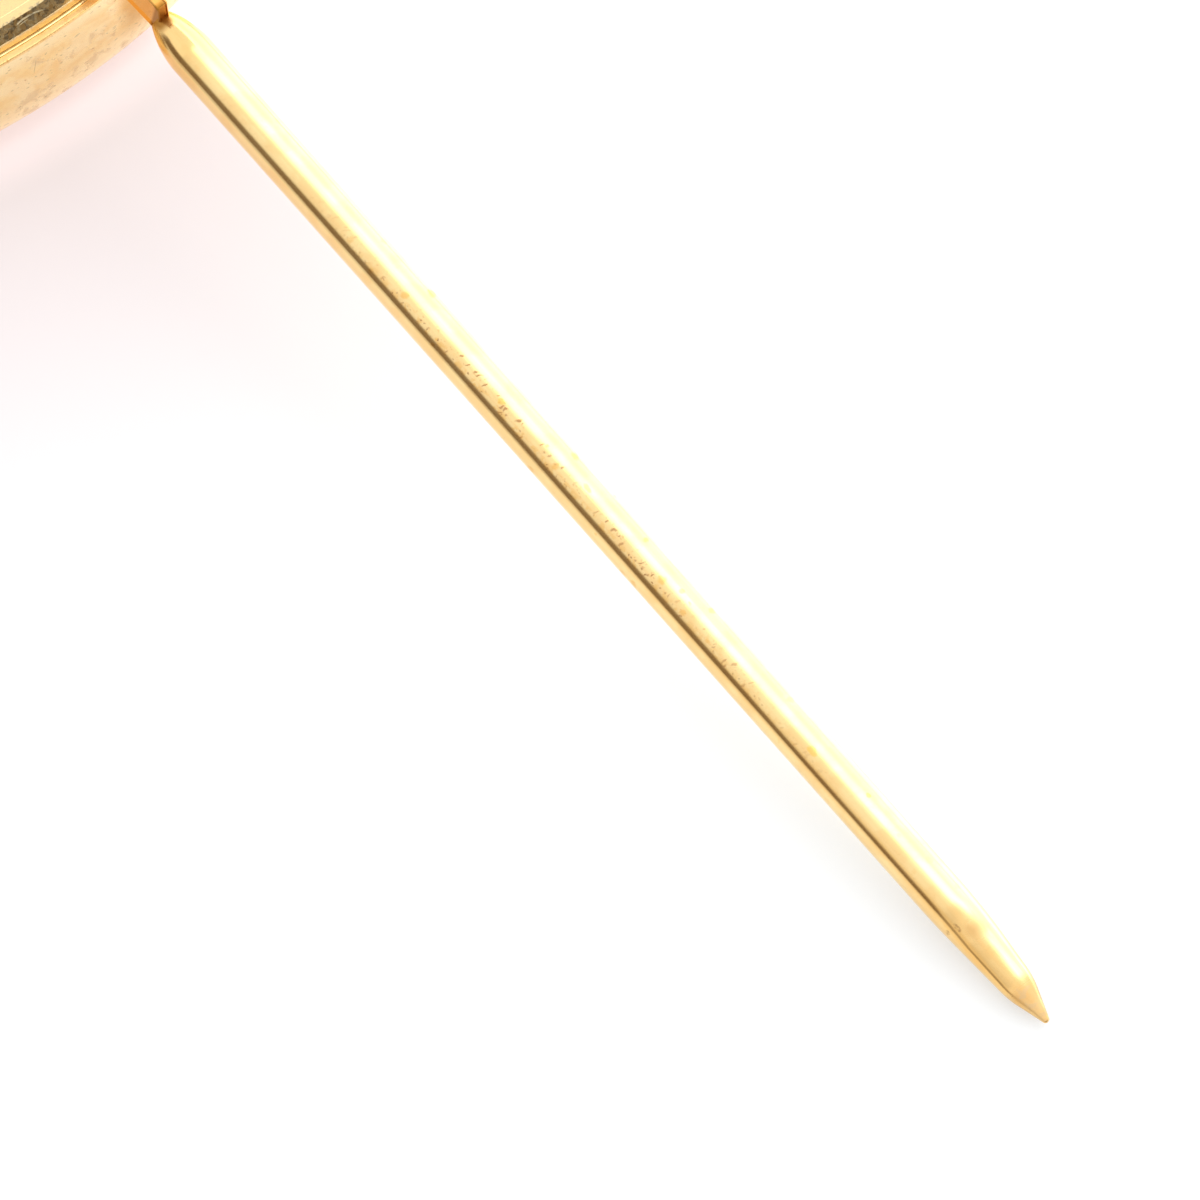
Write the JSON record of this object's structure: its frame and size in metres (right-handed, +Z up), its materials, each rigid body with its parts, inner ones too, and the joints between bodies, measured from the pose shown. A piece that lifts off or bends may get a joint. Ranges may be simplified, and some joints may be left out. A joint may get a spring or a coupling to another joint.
{
  "type": "round brooch",
  "caption": "Round gold-plated brooch with a convex wall, bevelled back and bare bordered front; its long pin swings on a riveted hinge, from open to closed in a plain catch.",
  "frame": {"origin": "centre of the front border's face, on the plane that the brooch rests on face down", "axes": "+X from the middle of the body along the open pin, +Z up and away from the front"},
  "size_m": [0.0798, 0.044, 0.0066],
  "materials": {
    "gold_shell": "gold-plated, polished, finely scratched and pitted",
    "gold_back": "gold-plated, polished, with fine dust and scratches",
    "gold_pin": "gold-plated, polished, with small brown pits"
  },
  "bodies": {
    "brooch_body": {"front_shell": "gold_shell", "back_plate": "gold_back", "hinge_rivet": "gold_back"},
    "pin": {"pin_stem": "gold_pin"}
  },
  "joints": [
    {"name": "pin_hinge", "type": "hinge", "parent": "brooch_body", "child": "pin", "pos_m": [0.01959, 0, 0.00566], "axis": [0, -1, 0], "range_deg": [0, 188]}
  ]
}
